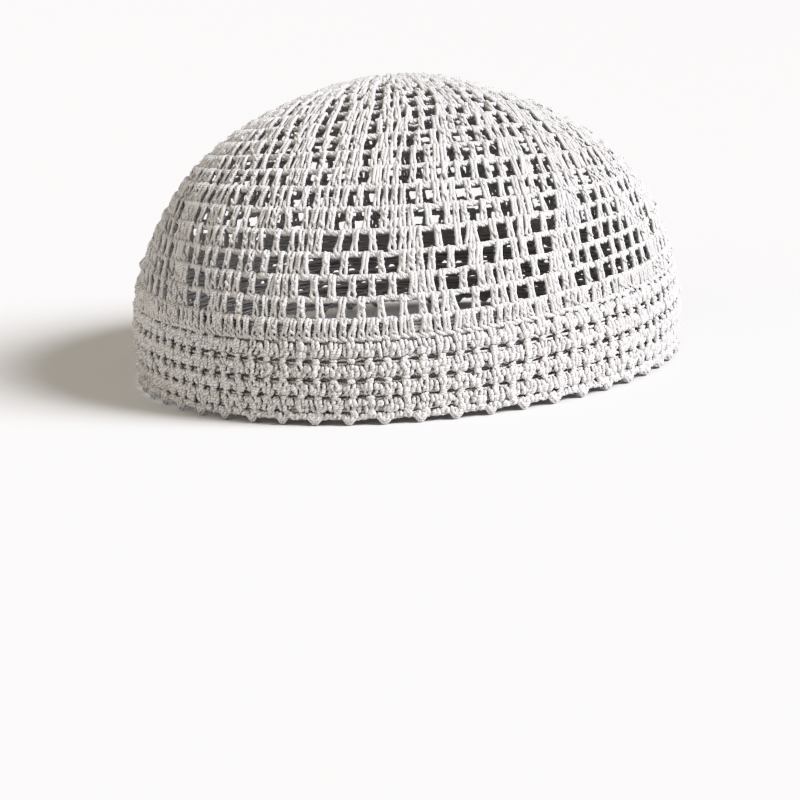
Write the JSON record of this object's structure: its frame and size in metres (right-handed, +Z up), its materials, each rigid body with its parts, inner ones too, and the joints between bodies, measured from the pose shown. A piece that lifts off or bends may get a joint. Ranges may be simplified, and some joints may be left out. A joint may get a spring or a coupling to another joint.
{
  "type": "kufi",
  "caption": "Brimless round skull cap of white crocheted cotton: open-meshed domed crown, dense band and a scalloped picot hem.",
  "frame": {"origin": "middle of the plane that the picot tips rest on, under the middle of the cap", "axes": "+Z up out of the top of the crown; the front of the cap faces -Y, and the longer way of the oval plan is along Y"},
  "size_m": [0.177, 0.191, 0.0943],
  "materials": {
    "mesh_cotton": "mercerised white crochet cotton worked in open mesh and blocks, soft sheen",
    "band_cotton": "white crochet cotton in dense short stitches with rows of small slots",
    "edging_cotton": "white crochet cotton, small round picots"
  },
  "bodies": {
    "root": {"crown": "mesh_cotton", "band": "band_cotton", "picot_edging": "edging_cotton"}
  },
  "joints": []
}
